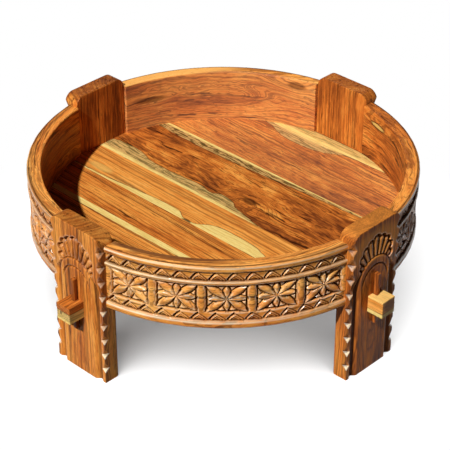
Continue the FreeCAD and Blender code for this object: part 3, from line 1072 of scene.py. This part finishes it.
# Pale patch on the east tenon's top: painted light
tenon_top_painted_light = knot((tenon_end - 18 * MM, 0, tenon_high), (260 * MM, 260 * MM, 14 * MM), 0.5, colour=SAP)
# Darker patch on the east tenon's end face
tenon_end_dark_patch = knot(
    (tenon_end, 2 * MM, (tenon_low + tenon_high) / 2 + 5 * MM), (16 * MM, 75 * MM, 62 * MM), strength=0.6,
)
dress("beam_east_west", wood(
    "beam wood 1", turn=ALONG_X, pith=(0.2, 0.01, -0.1), tone=0.90, lines=0.3, streaks=0.1,
    ends=(1, 0, 0), end_shade=0.5, knots=[tenon_top_painted_light, tenon_end_dark_patch],
    saps=[dict(edge=tenon_low, side=1, axis=2, widest=9 * MM, flecks=0.0, widths=even_widths)],
))
tenon_low, tenon_high = tenon_heights("beam_north_south")
tenon_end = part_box("beam_north_south")[0].y
tenon_end_dark_patch = knot(
    (-6 * MM, tenon_end, (tenon_low + tenon_high) / 2), (9 * MM, 60 * MM, 20 * MM), strength=0.95,
)
dress("beam_north_south", wood(
    "beam wood 2", turn=ALONG_Y, pith=(0.5, 0.02, -0.1), tone=0.42, knots=[tenon_end_dark_patch],
    saps=[dict(edge=tenon_low, side=1, axis=2, widest=21 * MM, flecks=0.6, widths=even_widths)],
))
wear("beam_east_west")
wear("beam_north_south")


# Studio

floor_half = 12.0
# How pale the floor is where it shows the shadow, and how much light it throws back on the table
floor_albedo = 0.9
floor_bounce = 0.04
# Distances from the table's middle between which the shaded ground turns plain white
shadow_fade = (0.40, 0.68)
# Lamps for the floor alone
floor_lamps = {
    "overhead": dict(azimuth=0, elevation=90, distance=2.2, power=92, size=4.0),
    "left": dict(azimuth=-83, elevation=30, distance=3.0, power=112, size=3.0),
    "right": dict(azimuth=-2, elevation=30, distance=3.0, power=62, size=3.0),
    "front": dict(azimuth=-46, elevation=16, distance=3.0, power=42, size=1.5),
}


def from_angles(azimuth, elevation):
    """Unit vector towards a compass angle and a height above the horizon, in degrees."""
    turn, rise = math.radians(azimuth), math.radians(elevation)
    return Vector((math.cos(turn) * math.cos(rise), math.sin(turn) * math.cos(rise), math.sin(rise)))


def lamp(name, kind, azimuth, elevation, distance, power, **settings):
    """Lamp that shines at the table's middle from a direction."""
    data = bpy.data.lights.new(name, kind)
    data.energy = power
    for setting, value in settings.items():
        setattr(data, setting, value)
    light = added(name, data)
    light.location = from_angles(azimuth, elevation) * distance
    light.rotation_mode = "QUATERNION"
    light.rotation_quaternion = light.location.to_track_quat("Z", "Y")
    return light


def only_for(light, state, *objects):
    """Restricts which objects a lamp lights: INCLUDE or EXCLUDE the given ones."""
    group = bpy.data.collections.new(f"receivers of {light.name}")
    for thing in objects:
        group.objects.link(thing)
    for member in group.collection_objects:
        member.light_linking.link_state = state
    light.light_linking.receiver_collection = group


def studio_floor():
    """Plain pale floor, which shows the table's shadow near it and is white further out."""
    corners = [(x * floor_half, y * floor_half, 0) for x, y in ((-1, -1), (1, -1), (1, 1), (-1, 1))]
    mesh = bpy.data.meshes.new("studio floor")
    mesh.from_pydata(corners, [], [(0, 1, 2, 3)])
    floor = added("studio_floor", mesh)
    tree = Tree("studio white")
    path = tree.nodes.new("ShaderNodeLightPath")
    seen = tree.math("MAXIMUM", path.outputs["Is Camera Ray"], path.outputs["Is Glossy Ray"])
    seen = tree.math("MAXIMUM", seen, path.outputs["Is Transmission Ray"])
    place = tree.add("ShaderNodeNewGeometry", "Position", {})
    near = tree.spread(tree.length(place), *shadow_fade, 1.0, 0.0)
    albedo = tree.math("MULTIPLY", near, floor_albedo)
    grey = tree.add("ShaderNodeCombineColor", 0, {0: albedo, 1: albedo, 2: albedo})
    white = tree.mix(seen, (floor_bounce, floor_bounce, floor_bounce, 1), grey)
    paint = tree.add("ShaderNodeBsdfDiffuse", 0, {"Color": white})
    far = tree.math("SUBTRACT", 1.0, near)
    glow = tree.add("ShaderNodeEmission", 0, {"Strength": tree.math("MULTIPLY", seen, far)})
    tree.finish(tree.add("ShaderNodeAddShader", 0, {0: paint, 1: glow}))
    mesh.materials.append(tree.material)
    return floor


def studio_world():
    """Soft even fill from all round."""
    world = bpy.data.worlds.new("studio")
    bpy.context.scene.world = world
    world.use_nodes = True
    background = world.node_tree.nodes["Background"]
    background.inputs["Color"].default_value = (1, 1, 1, 1)
    background.inputs["Strength"].default_value = 0.012


floor = studio_floor()
studio_world()
key = lamp("key", "SUN", azimuth=-82, elevation=46.5, distance=4, power=4.3, angle=math.radians(2))
only_for(key, "EXCLUDE", floor)
back = lamp("back", "SUN", azimuth=135, elevation=35, distance=4, power=1.1, angle=math.radians(40))
back.visible_glossy = False
joinery = [node for name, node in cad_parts.items() if name.startswith(("beam", "wedge_key"))]
only_for(back, "INCLUDE", *lit_from_back, *joinery)
for name, settings in floor_lamps.items():
    only_for(lamp(name, "AREA", shape="DISK", **settings), "INCLUDE", floor)


# Camera

camera_turn = -45.96
camera_rise = 32.85
camera_distance = 3.2925
camera_target = Vector((0, 0, 0.150))
camera_data = bpy.data.cameras.new("camera")
camera_data.lens = 132.53
camera_data.sensor_width = 36
camera_data.shift_x = 0.00387
camera_data.shift_y = -0.005
camera = added("camera", camera_data)
toward = from_angles(camera_turn, camera_rise)
camera.location = camera_target + toward * camera_distance
camera.rotation_mode = "QUATERNION"
camera.rotation_quaternion = toward.to_track_quat("Z", "Y")
bpy.context.scene.camera = camera
bpy.context.scene.view_settings.view_transform = "Standard"
